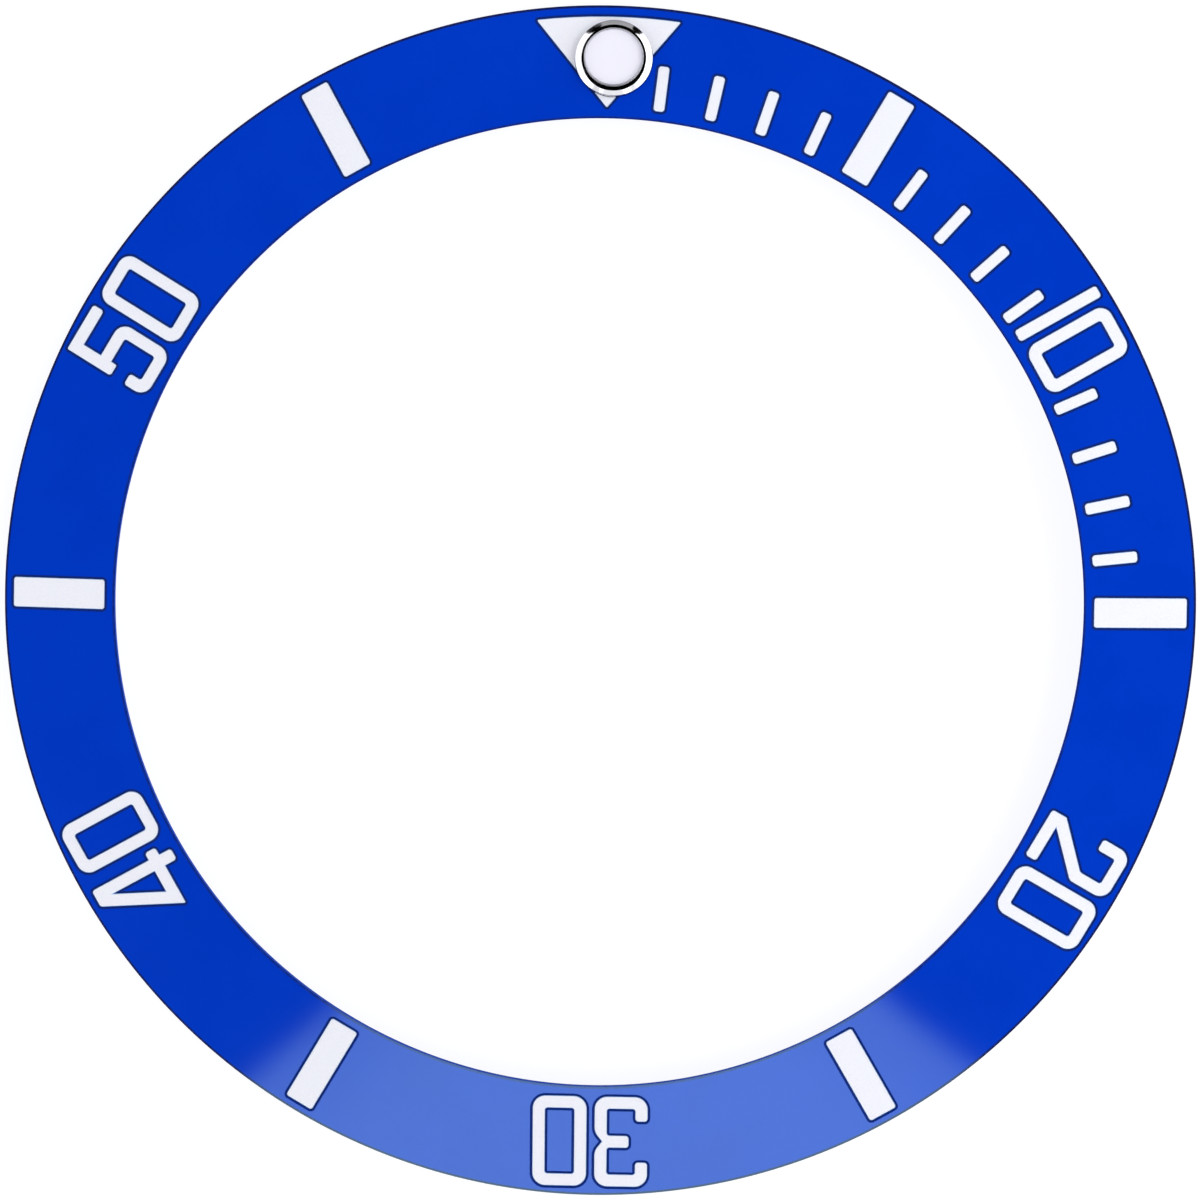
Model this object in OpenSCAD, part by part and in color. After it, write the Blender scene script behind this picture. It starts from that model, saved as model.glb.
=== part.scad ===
// Watch bezel insert: a sloped ceramic ring that carries a 60 minute dive scale.
// Every marker is a pocket in the slope with its own white lacquer fill, and a steel
// pearl with a luminous disc and a clear dome is set in the triangle at 12 o'clock.
// The origin is the ring's centre on its back face, +Z leaves the front and +Y is 12 o'clock.

/* [Ring] */
// Outer diameter, which drops into the bezel's rim
outer_d = 38; // [34.5:0.1:44]
// Width of the ring from its bore to its rim; the bore clears the crystal
ring_w = 3.58; // [3.3:0.02:4]
// Thickness at the outer edge
outer_edge_h = 0.7; // [0.65:0.05:0.9]
// Thickness at the inner edge, which sets the slope
inner_edge_h = 1.5; // [1.2:0.05:1.8]
// Radius of the two polished front edges
front_round = 0.08; // [0.05:0.01:0.14]
// Radius of the two back edges
back_round = 0.12; // [0.05:0.01:0.2]
// Height of the straight land of the bore, below its front edge
bore_land = 0.35; // [0.2:0.05:0.6]
// How far the bore opens out from the land to the back face
bore_relief = 0.25; // [0.05:0.05:0.4]

/* [Scale] */
// Gap between the bore and the inner ends of all markers
inner_margin = 0.31; // [0.21:0.01:0.35]
// Gap between the rim and the outer ends of the bars and numerals
outer_margin = 0.28; // [0.22:0.01:0.36]
// Width of the bars at 5, 15, 25, 35, 45 and 55 minutes
bar_w = 0.98; // [0.7:0.01:1.2]
// Corner radius of those bars
bar_corner = 0.1; // [0.04:0.01:0.2]
// Width of the minute ticks
tick_w = 0.39; // [0.28:0.01:0.46]
// Length of the minute ticks
tick_l = 1.47; // [1:0.01:2]
// Corner radius of the minute ticks
tick_corner = 0.12; // [0.04:0.01:0.13]

/* [Numerals] */
// Width of a numeral's strokes
stroke = 0.43; // [0.36:0.01:0.48]
// Gap between the two digits of a numeral
digit_gap = 0.22; // [0.15:0.01:0.28]
// Outer radius of the round bends
bend_round = 0.43; // [0.3:0.01:0.5]
// Corner radius at the free ends of strokes
end_round = 0.12; // [0.05:0.01:0.16]
// Corner radius inside the bends
inner_round = 0.07; // [0.02:0.01:0.1]
// Width of the digit 0
zero_w = 1.76; // [1.5:0.01:1.84]
// Width of the digit 2
two_w = 1.72; // [1.5:0.01:1.84]
// Length of the hook at the top of the 2, from its top
two_hook = 1.08; // [0.8:0.01:1.2]
// Width of the 2's heel, where its diagonal lands on its foot
two_heel = 0.49; // [0.44:0.01:0.6]
// Width of the digit 3
three_w = 1.73; // [1.5:0.01:1.84]
// Length of the middle bar of the 3, from its right side
three_bar = 1.13; // [0.9:0.01:1.2]
// Depth of the notch in the right side of the 3
three_notch = 0.24; // [0.1:0.01:0.3]
// Length of the hooks of the 3 and the 5, from their top or bottom
hook_l = 0.84; // [0.66:0.01:0.92]
// Width of the digit 4
four_w = 2.07; // [1.9:0.01:2.1]
// Length of the 4's crossbar beyond its stem
four_stub = 0.26; // [0.18:0.01:0.32]
// Height of the underside of the 4's crossbar
four_bar_z = 0.43; // [0.3:0.01:0.55]
// Width of the flat top of the 4
four_top = 0.6; // [0.52:0.01:0.7]
// Width of the digit 5
five_w = 1.68; // [1.5:0.01:1.84]
// Height of the 5's bowl
five_bowl = 1.95; // [1.8:0.01:2.1]
// Length of the spur at the foot of the 5's stem
five_spur = 0.21; // [0.1:0.01:0.28]

/* [Triangle] */
// Gap between the rim and the triangle's arched top
triangle_margin = 0.34; // [0.24:0.01:0.5]
// Angle at the tip of the triangle
triangle_angle = 80; // [70:1:82]
// Corner radius of the triangle
triangle_corner = 0.06; // [0.03:0.01:0.1]

/* [Pearl] */
// Outer diameter of the pearl's steel cup
pearl_d = 2.47; // [2.3:0.01:2.6]
// Distance of the pearl's centre beyond the middle of the markers' band
pearl_out = 0.09; // [0:0.01:0.15]
// Distance of the pearl's centre from the 12 o'clock line, as set by hand
pearl_shift = 0.19; // [-0.2:0.01:0.2]
// Width of the cup's sloped rim, from its side to the collar
rim_w = 0.28; // [0.24:0.01:0.32]
// Height of the rim's crest above the ring's slope
rim_rise = 0.24; // [0.2:0.01:0.3]
// Angle at which the rim falls from its crest to its side
rim_fall = 33; // [20:1:35]
// Radius that rounds the rim at its crest
crest_round = 0.25; // [0.15:0.01:0.3]
// Thickness of the collar that holds the luminous disc
collar_w = 0.04; // [0.03:0.01:0.06]
// Height of the collar above the rim's crest
collar_rise = 0.09; // [0.03:0.01:0.12]
// Depth of the pearl's seat below the ring's slope
seat_depth = 0.28; // [0.2:0.01:0.32]
// Depth of the well inside the collar
well_depth = 0.39; // [0.36:0.01:0.43]
// Thickness of the luminous disc
lume_h = 0.29; // [0.25:0.01:0.32]
// Thickness of the dome at its edge
dome_edge = 0.07; // [0.04:0.01:0.1]
// Height that the dome crowns above its edge
dome_crown = 0.08; // [0.04:0.01:0.12]
// Diameter of the stem that goes through the ring
stem_d = 1.4; // [1:0.05:1.6]
// Height of the stem's end above the ring's back face
stem_clear = 0.05; // [0.02:0.01:0.15]

/* [Fits] */
// Depth of the marker pockets below the slope
pocket_depth = 0.18; // [0.12:0.01:0.24]
// Depth of the fills' faces below the slope
fill_low = 0.03; // [0.01:0.01:0.06]
// Bond line between a fill and its pocket
fill_gap = 0.01; // [0.008:0.001:0.015]
// Clearance around the pearl's cup, disc and dome
pearl_gap = 0.01; // [0.005:0.001:0.015]

/* [Hidden] */
$fn = 96;
// Largest step between a round corner and the chords that draw it
chord_error = 0.004;
// A cut runs this far past the face that it opens
overrun = 1;
minute_angle = 360 / 60;
outer_r = outer_d / 2;
inner_r = outer_r - ring_w;
slope_angle = atan((inner_edge_h - outer_edge_h) / (outer_r - inner_r));
// Circle that the inner ends of all markers stand on, and the height of bars and numerals
marker_r = inner_r + inner_margin;
marker_h = ring_w - inner_margin - outer_margin;
pearl_r = norm([pearl_shift, marker_r + marker_h / 2 + pearl_out]);
pearl_clock = asin(pearl_shift / pearl_r);
cup_r = pearl_d / 2;
collar_r = cup_r - rim_w;
collar_top = rim_rise + collar_rise;
well_r = collar_r - collar_w;
well_floor = collar_top - well_depth;
stem_r = stem_d / 2;

tick_minutes = [for (m = [1:14]) if (m % 5 != 0) m];
bar_minutes = [5:10:55];
numeral_minutes = [10:10:50];

function two_digits(m) = str(m < 10 ? "0" : "", m);
function tick_name(m) = str("minute_tick_", two_digits(m));
function bar_name(m) = str("bar_", two_digits(m));
function tens_name(m) = str("numeral_", m, "_tens");
function units_name(m) = str("numeral_", m, "_units");

// Height of the slope above the back face at a distance r from the axis
function slope_z(r) = outer_edge_h + (outer_r - r) * tan(slope_angle);

// An outline is a list of corners [x, y, radius], counter-clockwise. Rounded() draws each
// corner as an arc, after it has moved every edge outwards by grow.
function unit(a, b) = (b - a) / norm(b - a);
function turned(v, angle) = [v[0] * cos(angle) - v[1] * sin(angle), v[0] * sin(angle) + v[1] * cos(angle)];
function spot(corners, i) =
    let (c = corners[(i + len(corners)) % len(corners)])
    [c[0], c[1]];
function corner_arc(p, a, b, r) =
    let (
        turn = sign(cross(a, b)) * acos(max(-1, min(1, a * b))),
        reach = r * tan(abs(turn) / 2),
        centre = p - a * reach + turned(a, 90) * sign(turn) * r,
        from = p - a * reach - centre,
        steps = ceil(abs(turn) / (2 * acos(1 - chord_error / r)))
    )
    [for (k = [0:steps]) centre + turned(from, turn * k / steps)];
function rounded(corners, grow = 0) = [
    for (i = [0:len(corners) - 1])
        let (
            a = unit(spot(corners, i - 1), spot(corners, i)),
            b = unit(spot(corners, i), spot(corners, i + 1)),
            p = spot(corners, i) + (turned(a, -90) + turned(b, -90)) * grow / (1 + a * b),
            r = corners[i][2] + grow * sign(cross(a, b))
        )
        each r > chord_error && norm(a - b) > 0.01 ? corner_arc(p, a, b, r) : [p]
];

function box_outline(w, h, r) = [[0, 0, r], [w, 0, r], [w, h, r], [0, h, r]];

function two_outline() =
    let (
        right = two_w - stroke,
        heel_y = stroke + two_w - two_heel,
        back_y = heel_y - two_w + stroke * sqrt(2)
    )
    [
        [0, 0, end_round], [two_w, 0, end_round], [two_w, stroke, end_round],
        [two_heel, stroke, 0], [two_w, heel_y, 2 * end_round],
        [two_w, marker_h, bend_round], [0, marker_h, bend_round],
        [0, marker_h - two_hook, end_round], [stroke, marker_h - two_hook, end_round],
        [stroke, marker_h - stroke, inner_round], [right, marker_h - stroke, inner_round],
        [right, back_y + right, 2 * inner_round], [0, back_y, inner_round]
    ];

function three_outline() =
    let (
        right = three_w - stroke,
        bar_end = three_w - three_bar,
        low = (marker_h - stroke) / 2,
        high = (marker_h + stroke) / 2,
        waist = stroke * 0.7
    )
    [
        [0, 0, bend_round], [three_w, 0, bend_round],
        [three_w, marker_h / 2 - waist, bend_round],
        [three_w - three_notch, marker_h / 2, 0],
        [three_w, marker_h / 2 + waist, bend_round],
        [three_w, marker_h, bend_round], [0, marker_h, bend_round],
        [0, marker_h - hook_l, end_round], [stroke, marker_h - hook_l, end_round],
        [stroke, marker_h - stroke, inner_round], [right, marker_h - stroke, inner_round],
        [right, high, inner_round], [bar_end, high, end_round],
        [bar_end, low, end_round], [right, low, inner_round],
        [right, stroke, inner_round], [stroke, stroke, inner_round],
        [stroke, hook_l, end_round], [0, hook_l, end_round]
    ];

four_right = four_w - four_stub;
four_left = four_right - stroke;
four_rise = (marker_h - four_bar_z) / (four_right - four_top);
function four_outline() = [
    [0, four_bar_z, end_round / 2], [four_left, four_bar_z, 0],
    [four_left, 0, end_round], [four_right, 0, end_round],
    [four_right, four_bar_z, 0], [four_w, four_bar_z, end_round],
    [four_w, four_bar_z + stroke, end_round], [four_right, four_bar_z + stroke, 0],
    [four_right, marker_h, end_round], [four_right - four_top, marker_h, end_round]
];
function four_counter() =
    let (
        low = four_bar_z + stroke,
        lean = stroke * norm([1, four_rise]) / four_rise
    )
    [
        [lean + stroke / four_rise, low, 0],
        [four_left, low, 0],
        [four_left, four_bar_z + (four_left - lean) * four_rise, 0]
    ];

function five_outline() =
    let (
        right = five_w - stroke,
        bowl_in = five_bowl - stroke
    )
    [
        [0, 0, bend_round], [five_w, 0, bend_round], [five_w, five_bowl, bend_round],
        [stroke, five_bowl, 0], [stroke, marker_h - stroke, 0],
        [five_w, marker_h - stroke, end_round], [five_w, marker_h, end_round],
        [0, marker_h, inner_round], [0, bowl_in - five_spur, end_round],
        [stroke, bowl_in - five_spur, inner_round], [stroke, bowl_in, 0],
        [right, bowl_in, inner_round], [right, stroke, inner_round],
        [stroke, stroke, inner_round], [stroke, hook_l, end_round], [0, hook_l, end_round]
    ];

digit_widths = [zero_w, stroke, two_w, three_w, four_w, five_w];

// One digit, standing on its left foot
module digit(n, grow = 0) {
    if (n == 0)
        difference() {
            polygon(rounded(box_outline(zero_w, marker_h, bend_round), grow));
            translate([stroke, stroke])
                polygon(rounded(box_outline(zero_w - 2 * stroke, marker_h - 2 * stroke, inner_round), -grow));
        }
    if (n == 1)
        polygon(rounded(box_outline(stroke, marker_h, end_round), grow));
    if (n == 2)
        polygon(rounded(two_outline(), grow));
    if (n == 3)
        polygon(rounded(three_outline(), grow));
    if (n == 4)
        difference() {
            polygon(rounded(four_outline(), grow));
            polygon(rounded(four_counter(), -grow));
        }
    if (n == 5)
        polygon(rounded(five_outline(), grow));
}

// Turns a shape drawn at 12 o'clock to its minute
module at_minute(m) {
    rotate(-m * minute_angle)
        children();
}

module tick_shape(m, grow = 0) {
    at_minute(m)
        translate([-tick_w / 2, marker_r])
            polygon(rounded(box_outline(tick_w, tick_l, tick_corner), grow));
}

module bar_shape(m, grow = 0) {
    at_minute(m)
        translate([-bar_w / 2, marker_r])
            polygon(rounded(box_outline(bar_w, marker_h, bar_corner), grow));
}

// Both digits stand square to the middle line of their numeral
module tens_shape(m, grow = 0) {
    n = m / 10;
    at_minute(m)
        translate([-(digit_widths[n] + digit_gap + zero_w) / 2, marker_r])
            digit(n, grow);
}

module units_shape(m, grow = 0) {
    n = m / 10;
    at_minute(m)
        translate([(digit_widths[n] + digit_gap - zero_w) / 2, marker_r])
            digit(0, grow);
}

// The top of the triangle is an arc about the ring's axis
module triangle_shape(grow = 0) {
    top_r = outer_r - triangle_margin;
    side = triangle_angle / 2;
    reach = side - asin(marker_r * sin(side) / top_r);
    steps = 8;
    top = [for (k = [-1:2 / steps:1]) [top_r * sin(k * reach), top_r * cos(k * reach)]];
    corners = [
        [0, marker_r, triangle_corner],
        for (k = [0:steps])
            let (p = top[steps - k])
            [p[0], p[1], k == 0 || k == steps ? triangle_corner : 0]
    ];
    polygon(rounded(corners, grow));
}

// What lies between two depths under the slope
module slope_layer(deep, shallow) {
    rotate_extrude()
        polygon([
            [inner_r, slope_z(inner_r) - deep],
            [outer_r, slope_z(outer_r) - deep],
            [outer_r, slope_z(outer_r) - shallow],
            [inner_r, slope_z(inner_r) - shallow]
        ]);
}

// A pocket for the outline given to it, open at the slope
module pocket() {
    intersection() {
        linear_extrude(inner_edge_h + overrun)
            children();
        slope_layer(pocket_depth, -overrun);
    }
}

// A fill for the same pocket; its outline is drawn smaller by the bond line
module fill() {
    intersection() {
        linear_extrude(inner_edge_h + overrun)
            children();
        slope_layer(pocket_depth - fill_gap, fill_low);
    }
}

// Frame of the pearl: its origin is on the slope and its axis stands square to it
module at_pearl() {
    rotate(-pearl_clock)
        translate([0, pearl_r, slope_z(pearl_r)])
            rotate([-slope_angle, 0, 0])
                children();
}

module pearl_seat() {
    at_pearl()
        translate([0, 0, -seat_depth])
            cylinder(r = cup_r + pearl_gap, h = seat_depth + overrun);
}

module stem_bore() {
    at_pearl()
        translate([0, 0, -inner_edge_h - overrun])
            cylinder(r = stem_r + pearl_gap, h = inner_edge_h + overrun);
}

module insert_ring() {
    section = [
        [inner_r + bore_relief, 0, back_round],
        [outer_r, 0, back_round],
        [outer_r, outer_edge_h, front_round],
        [inner_r, inner_edge_h, front_round],
        [inner_r, inner_edge_h - front_round - bore_land, 0]
    ];
    color([0, 0.2, 0.75])
        difference() {
            rotate_extrude()
                polygon(rounded(section));
            pocket()
                triangle_shape();
            for (m = bar_minutes)
                pocket()
                    bar_shape(m);
            for (m = tick_minutes)
                pocket()
                    tick_shape(m);
            for (m = numeral_minutes) {
                pocket()
                    tens_shape(m);
                pocket()
                    units_shape(m);
            }
            pearl_seat();
            stem_bore();
        }
}

module triangle_fill() {
    color("white")
        difference() {
            fill()
                triangle_shape(-fill_gap);
            pearl_seat();
        }
}

module bar(m) {
    color("white")
        fill()
            bar_shape(m, -fill_gap);
}

module minute_tick(m) {
    color("white")
        fill()
            tick_shape(m, -fill_gap);
}

module numeral_tens(m) {
    color("white")
        fill()
            tens_shape(m, -fill_gap);
}

module numeral_units(m) {
    color("white")
        fill()
            units_shape(m, -fill_gap);
}

// Steel cup on a stem that goes through the ring. Its rim falls from a round crest to the
// side, and a thin collar stands inside the crest.
module pearl_cup() {
    seat = pearl_gap - seat_depth;
    stem_end = (stem_clear + stem_r * sin(slope_angle) - slope_z(pearl_r)) / cos(slope_angle);
    edge_round = 0.04;
    crest_flat = 0.01;
    bend_r = collar_r + crest_flat + crest_round * tan(rim_fall / 2);
    shoulder = rim_rise - (cup_r - bend_r) * tan(rim_fall);
    section = [
        [0, stem_end, 0], [stem_r, stem_end, edge_round],
        [stem_r, seat, 0], [cup_r, seat, edge_round],
        [cup_r, shoulder, edge_round], [bend_r, rim_rise, crest_round],
        [collar_r, rim_rise, 0], [collar_r, collar_top, 0], [well_r, collar_top, 0],
        [well_r, well_floor, 0], [0, well_floor, 0]
    ];
    color("silver")
        at_pearl()
            rotate_extrude()
                polygon(rounded(section));
}

module pearl_lume() {
    color("ghostwhite")
        at_pearl()
            translate([0, 0, well_floor + pearl_gap])
                cylinder(r = well_r - pearl_gap, h = lume_h);
}

// Clear dome over the luminous disc: a cap cut from a sphere
module pearl_dome() {
    dome_r = well_r - pearl_gap;
    sphere_r = (dome_r * dome_r + dome_crown * dome_crown) / (2 * dome_crown);
    top = dome_edge + dome_crown;
    color([0.9, 0.95, 1, 0.4])
        at_pearl()
            translate([0, 0, well_floor + lume_h + 2 * pearl_gap])
                intersection() {
                    cylinder(r = dome_r, h = top + overrun);
                    translate([0, 0, top - sphere_r])
                        sphere(r = sphere_r);
                }
}

insert_ring();
triangle_fill();
pearl_cup();
pearl_lume();
pearl_dome();
for (m = bar_minutes) bar(m);
for (m = tick_minutes) minute_tick(m);
for (m = numeral_minutes) numeral_tens(m);
for (m = numeral_minutes) numeral_units(m);
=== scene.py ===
"""Dresses the bezel insert: a polished blue ceramic ring with lacquer-filled markers and a set pearl.

Everything is worked in millimetres, flat on the bench with the front face at height 0, then laid on the
ring's slope and set down to metres. The axes are the part's own: +Z leaves the front, +Y is 12 o'clock.
The angles among the values in capitals are in degrees, but for SLOPE, which is in radians.
"""

import math

import bpy
from mathutils import Matrix, Vector


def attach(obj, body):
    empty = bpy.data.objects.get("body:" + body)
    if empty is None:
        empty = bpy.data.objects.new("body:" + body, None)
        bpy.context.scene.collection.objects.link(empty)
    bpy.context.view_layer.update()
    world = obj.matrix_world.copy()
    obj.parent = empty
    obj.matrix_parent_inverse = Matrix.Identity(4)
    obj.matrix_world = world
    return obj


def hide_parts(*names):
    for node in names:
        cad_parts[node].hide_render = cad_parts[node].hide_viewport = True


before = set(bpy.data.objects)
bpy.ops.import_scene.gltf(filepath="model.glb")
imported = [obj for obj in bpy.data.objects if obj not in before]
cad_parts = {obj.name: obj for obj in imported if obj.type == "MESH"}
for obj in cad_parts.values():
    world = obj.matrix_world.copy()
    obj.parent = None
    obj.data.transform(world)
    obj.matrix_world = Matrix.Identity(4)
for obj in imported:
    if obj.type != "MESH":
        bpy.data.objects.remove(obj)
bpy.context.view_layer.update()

MM = 0.001

# Distances that count as none: between levels, between points to weld, and between radii
SAME, TOUCHING, NEAR = 1e-5, 1e-4, 1e-3

# The ring
RIM_R = 19.0
BORE_R = 15.42
RIM_H = 0.7
BORE_H = 1.5
SLOPE = math.atan((BORE_H - RIM_H) / (RIM_R - BORE_R))
FRONT_EDGE, BACK_EDGE, EDGE_STEPS = 0.08, 0.12, 6
LAND = 0.35
RELIEF = 0.25
WEDGES = 360
BENCH_DEPTH = 2.0

# The engraving and its lacquer
FOOT_R = 15.73
BAND_H = 2.99
POCKET = 0.18
LACQUER_LOW = 0.03
BOND = 0.01
MENISCUS, MENISCUS_STEPS = 0.02, 3
SHANK = 0.3
BAR_W, BAR_CORNER = 0.98, 0.1
TICK_W, TICK_L, TICK_CORNER = 0.39, 1.47, 0.12
TRIANGLE_MARGIN, TRIANGLE_LEAN, TRIANGLE_CORNER, TRIANGLE_STEPS = 0.34, 40, 0.06, 8
STROKE = 0.43
DIGIT_GAP = 0.22
HOOK = 0.84
BEND, FREE_END, INSIDE = 0.43, 0.12, 0.07
MOUTH_W, MOUTH_STEPS = INSIDE - 0.005, 4
ZERO_W, TWO_W, THREE_W, FOUR_W, FIVE_W = 1.76, 1.72, 1.73, 2.07, 1.68

# The pearl: a steel cup with a sloped rim and a collar inside it, a luminous disc in the collar and a dome
PEARL_D = 2.47
PEARL_SHIFT = 0.19
PEARL_OUT = 0.09
PEARL_R = math.hypot(PEARL_SHIFT, FOOT_R + BAND_H / 2 + PEARL_OUT)
RIM_FALL, CREST_R, CREST_Z, CREST_ROUND, CREST_FLAT = 33, 0.955, 0.24, 0.25, 0.01
GROOVE_Z = 0.21
COLLAR_R, COLLAR_TOP, COLLAR_ROUND = 0.935, 0.33, 0.008
CUP_ROUND = 0.04
DISC_R, DISC_TOP, DISC_ROUND = 0.905, 0.24, 0.02
WELL_Z = -0.06
DOME_SIDE, DOME_CROWN, DOME_STEPS = 0.07, 0.08, 16
SEAT = 0.28
STEM_R = 0.7
STEM_CLEAR = 0.05
LATHE_STEPS = 144


def slope_z(r):
    """Height of the slope above the back face, at a distance from the axis."""
    return RIM_H + (RIM_R - r) * math.tan(SLOPE)


def pearl_place(scale=1.0):
    """The pearl's own frame, in millimetres times the scale: on the slope, with its axis square to it."""
    clock = math.asin(PEARL_SHIFT / PEARL_R)
    return (
        Matrix.Rotation(-clock, 4, "Z")
        @ Matrix.Translation(Vector((0, PEARL_R, slope_z(PEARL_R))) * scale)
        @ Matrix.Rotation(-SLOPE, 4, "X")
    )


# Bench tools: taking pieces in hand and selecting parts of them

def clear():
    """Leaves edit mode and deselects everything."""
    if bpy.context.object and bpy.context.object.mode == "EDIT":
        bpy.ops.object.mode_set(mode="OBJECT")
    bpy.ops.object.select_all(action="DESELECT")


def take(piece):
    """Takes one piece in hand."""
    clear()
    piece.select_set(True)
    bpy.context.view_layer.objects.active = piece


def work_on(piece):
    """Takes one piece in hand, in edit mode, with nothing selected on it."""
    take(piece)
    bpy.ops.object.mode_set(mode="EDIT")
    bpy.ops.mesh.select_mode(type="VERT")
    bpy.ops.mesh.select_all(action="DESELECT")


def put_down(piece):
    bpy.ops.object.mode_set(mode="OBJECT")
    piece.select_set(False)
    return piece


def pick_all():
    bpy.ops.mesh.select_all(action="SELECT")


def pick(piece, kind, test):
    """Selects the parts of one kind, VERT, EDGE or FACE, that pass the test, and no others."""
    bpy.ops.mesh.select_mode(type=kind)
    bpy.ops.mesh.select_all(action="DESELECT")
    bpy.ops.object.mode_set(mode="OBJECT")
    mesh = piece.data
    for part in {"VERT": mesh.vertices, "EDGE": mesh.edges, "FACE": mesh.polygons}[kind]:
        part.select = test(part)
    bpy.ops.object.mode_set(mode="EDIT")


def pick_points(piece, test):
    """Selects the vertices whose place passes the test."""
    pick(piece, "VERT", lambda v: test(v.co))


def pick_edges(piece, test):
    """Selects the edges whose two ends pass the test together."""
    pick(piece, "EDGE", lambda e: test(*(piece.data.vertices[i].co for i in e.vertices)))


def face_outwards():
    """Turns every face of the piece in hand outwards."""
    pick_all()
    bpy.ops.mesh.normals_make_consistent(inside=False)


def weld(piece, gap=TOUCHING):
    """Merges doubles and turns every face outwards."""
    work_on(piece)
    pick_all()
    bpy.ops.mesh.remove_doubles(threshold=gap)
    face_outwards()
    return put_down(piece)


def join(name, pieces):
    take(pieces[0])
    for piece in pieces:
        piece.select_set(True)
    if len(pieces) > 1:
        bpy.ops.object.join()
    joined = bpy.context.object
    joined.name = joined.data.name = name
    return joined


def copy_of(piece, name, place):
    twin = piece.copy()
    twin.data = piece.data.copy()
    twin.name = twin.data.name = name
    twin.data.transform(place)
    bpy.context.scene.collection.objects.link(twin)
    return twin


def discard(*pieces):
    for piece in pieces:
        bpy.data.objects.remove(piece)


def apply(piece, kind, **settings):
    """Puts a modifier of this kind on a piece and applies it."""
    take(piece)
    modifier = piece.modifiers.new(kind.title(), kind)
    for key, value in settings.items():
        setattr(modifier, key, value)
    bpy.ops.object.modifier_apply(modifier=modifier.name)
    return piece


def cut(piece, tool, operation="DIFFERENCE"):
    """Cuts a tool out of a piece, or unites the two. The cut faces keep the tool's finish."""
    apply(piece, "BOOLEAN", operation=operation, solver="EXACT", object=tool, material_mode="TRANSFER")
    discard(tool)
    return piece


def smooth(piece, degrees=35):
    """Shades a piece smooth, but for the edges that are sharper than this."""
    take(piece)
    bpy.ops.object.shade_smooth_by_angle(angle=math.radians(degrees))
    return apply(piece, "WEIGHTED_NORMAL", mode="FACE_AREA", weight=50, keep_sharp=True)


def hand_over(piece, finish, *nodes):
    """Sets a finished piece down to metres and puts it on the ring in place of its CAD nodes."""
    piece.data.transform(Matrix.Scale(MM, 4))
    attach(piece, "root")
    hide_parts(*nodes)
    return piece


# Drawing outlines and raising walls from them

def one_point(name, at):
    """Starts a piece as a single point, in hand."""
    clear()
    bpy.ops.mesh.primitive_plane_add(size=0.1)
    piece = bpy.context.object
    piece.name = piece.data.name = name
    bpy.ops.object.mode_set(mode="EDIT")
    bpy.ops.mesh.select_mode(type="VERT")
    pick_all()
    bpy.ops.mesh.merge(type="CENTER")
    bpy.ops.transform.translate(value=at)
    return piece


def draw_line(name, points):
    """Draws a line from point to point."""
    at = Vector(points[0])
    piece = one_point(name, at)
    for point in points[1:]:
        step = Vector(point) - at
        bpy.ops.mesh.extrude_vertices_move(TRANSFORM_OT_translate={"value": step})
        at = at + step
    return piece


def turn_at(corners, i):
    """How far an outline turns at a corner, in radians."""
    before, here, after = (Vector(corners[k % len(corners)][:2]) for k in (i - 1, i, i + 1))
    return (here - before).angle_signed(after - here)


def draw_outline(corners):
    """Draws a closed outline of corners (x, y, radius) and rounds each corner to its radius."""
    piece = draw_line("outline", [(x, y, 0) for x, y, _ in corners])
    pick_all()
    bpy.ops.mesh.edge_face_add()
    for i, (x, y, radius) in enumerate(corners):
        if not radius:
            continue
        turn = abs(turn_at(corners, i))
        here = Vector((x, y, 0))
        pick_points(piece, lambda co: (co - here).length < TOUCHING)
        bpy.ops.mesh.bevel(
            affect="VERTICES",
            offset=radius * math.tan(turn / 2),
            segments=max(3, math.ceil(turn * (4 + 8 * radius))),
            profile=0.5,
        )
    pick_all()
    bpy.ops.mesh.delete(type="ONLY_FACE")
    return piece


def quarter_round(height, width, steps):
    """The rises of a quarter round, which climbs by the height while its top steps out by the width."""
    turns = [math.radians(90 * k / steps) for k in range(steps + 1)]
    return [
        (height * (math.sin(b) - math.sin(a)), width * (math.cos(a) - math.cos(b)))
        for a, b in zip(turns, turns[1:])
    ]


def raise_wall(corners, foot, straight, rises, grow, side):
    """Raises a wall from an outline at the foot's height: a straight part, then rises (height, step out).

    The straight part is grown sideways. The side is 1 for an outer wall and -1 for the wall of a counter.
    """
    piece = draw_outline(corners)
    pick_all()
    bpy.ops.transform.translate(value=(0, 0, foot))
    bpy.ops.mesh.extrude_edges_move(TRANSFORM_OT_translate={"value": (0, 0, straight)})
    face_outwards()
    if grow:
        bpy.ops.transform.shrink_fatten(value=grow * side, use_even_offset=True)
    pick_points(piece, lambda co: co.z > foot + straight - SAME)
    for height, step in rises:
        bpy.ops.mesh.extrude_edges_move(TRANSFORM_OT_translate={"value": (0, 0, height)})
        if step:
            bpy.ops.transform.shrink_fatten(value=step * side, use_even_offset=True)
    return put_down(piece)


def close_ends(piece):
    """Closes the top and the bottom of a wall, round any counter in it."""
    heights = [v.co.z for v in piece.data.vertices]
    work_on(piece)
    for level in (min(heights), max(heights)):
        pick_edges(piece, lambda a, b: abs(a.z - level) < SAME and abs(b.z - level) < SAME)
        bpy.ops.mesh.fill(use_beauty=True)
    face_outwards()
    return put_down(piece)


def raise_marker(name, shape, foot, straight, rises, grow=0.0):
    """Raises the outer wall of a marker and the wall of its counter, if it has one, as one closed piece."""
    outer, counter = SHAPES[shape]
    walls = [raise_wall(outer, foot, straight, rises, grow, 1)]
    if counter:
        walls.append(raise_wall(counter, foot, straight, rises, grow, -1))
    return close_ends(join(name, walls))


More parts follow.
